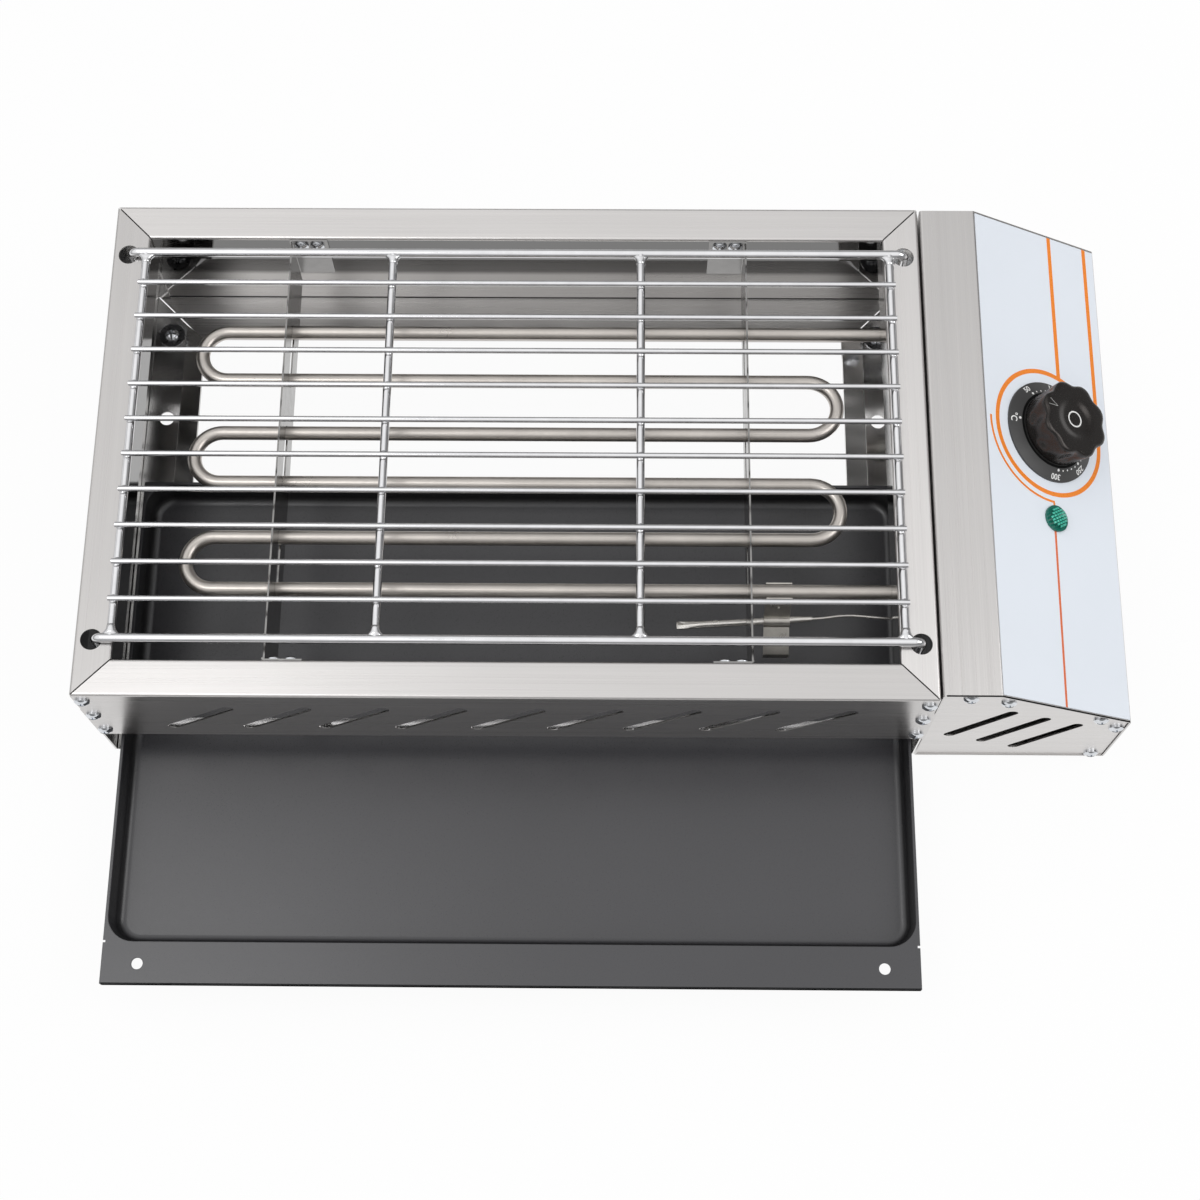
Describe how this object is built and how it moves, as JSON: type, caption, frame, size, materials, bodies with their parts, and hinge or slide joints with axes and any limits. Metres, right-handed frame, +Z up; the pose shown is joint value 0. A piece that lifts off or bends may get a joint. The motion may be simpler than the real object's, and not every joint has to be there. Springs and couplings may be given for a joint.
{
  "type": "electric grill",
  "caption": "Open table-top electric grill: folded steel body, lift-off wire grate, bent tubular element, sliding drip tray and a sloped control box with a thermostat knob and pilot lamp.",
  "frame": {"origin": "on the table, at the middle of the outline with the drip tray pulled out as in the picture", "axes": "+X towards the control box, -Y towards the front where the tray comes out, +Z up"},
  "size_m": [0.58, 0.4496, 0.1303],
  "materials": {
    "stainless": "brushed along each strip",
    "zinc": "bright zinc plate",
    "black_washer": "black oxide",
    "foot_rubber": "matt",
    "chrome_wire": "bright plate",
    "element_tube": "satin, slightly bronze",
    "support_steel": "plain rolled",
    "sensor_metal": "satin nickel",
    "ceramic": "glazed",
    "terminal_brass": "plain",
    "tray_coating": "satin charcoal coating",
    "label_film": "printed film with orange lines",
    "black_plastic": "satin black",
    "shaft_steel": "turned",
    "green_lens": "clear green",
    "line_wire": "brown sleeve",
    "neutral_wire": "blue sleeve",
    "earth_wire": "green sleeve",
    "lamp_wire": "white sleeve"
  },
  "bodies": {
    "grill_body": {"left_end_panel": "stainless", "right_end_panel": "stainless", "front_panel": "stainless", "rear_panel": "stainless", "control_box_cover": "stainless", "control_box_front_plate": "stainless", "control_box_rear_plate": "stainless", "control_box_base": "stainless", "front_panel_screws": "zinc", "rear_panel_screws": "zinc", "foot_screws": "zinc", "support_screws": "zinc", "support_nuts": "zinc", "box_plate_screws": "zinc", "box_base_screws": "zinc", "box_spacers": "zinc", "box_fixing_screws": "zinc", "box_fixing_nuts": "zinc", "thermostat_screws": "zinc", "terminal_block_screws": "zinc", "earth_nut": "zinc", "element_nuts": "zinc", "element_bushings": "zinc", "pilot_lamp_clip": "zinc", "foot_washers": "black_washer", "rubber_feet": "foot_rubber", "capillary_grommet": "foot_rubber", "heating_element": "element_tube", "element_support_left": "support_steel", "element_support_right": "support_steel", "bulb_clip": "support_steel", "sensor_bulb": "sensor_metal", "capillary_tube": "sensor_metal", "element_insulators": "ceramic", "terminal_block": "ceramic", "element_pins": "terminal_brass", "thermostat_terminals": "terminal_brass", "pilot_lamp_terminals": "terminal_brass", "earth_stud": "terminal_brass", "fascia_label": "label_film", "dial_ring": "black_plastic", "thermostat_body": "black_plastic", "pilot_lamp_body": "black_plastic", "cable_gland": "black_plastic", "gland_nut": "black_plastic", "pilot_lamp_lens": "green_lens", "supply_wire": "line_wire", "switched_wire": "line_wire", "neutral_wire": "neutral_wire", "earth_wire": "earth_wire", "lamp_wires": "lamp_wire"},
    "drip_tray": {"drip_tray": "tray_coating"},
    "cooking_grate": {"cooking_grate": "chrome_wire"},
    "thermostat_control": {"thermostat_knob": "black_plastic", "thermostat_shaft": "shaft_steel"}
  },
  "joints": [
    {"name": "tray_slide", "type": "slide", "parent": "grill_body", "child": "drip_tray", "axis": [0, -1, 0], "range_m": [-0.1375, 0.12]},
    {"name": "grate_lift", "type": "slide", "parent": "grill_body", "child": "cooking_grate", "axis": [0, 0, 1], "range_m": [0, 0.06]},
    {"name": "knob_turn", "type": "hinge", "parent": "grill_body", "child": "thermostat_control", "pos_m": [0.25029, 0.08295, 0.09977], "axis": [-0.5104, 0, -0.86], "range_deg": [0, 250]}
  ]
}
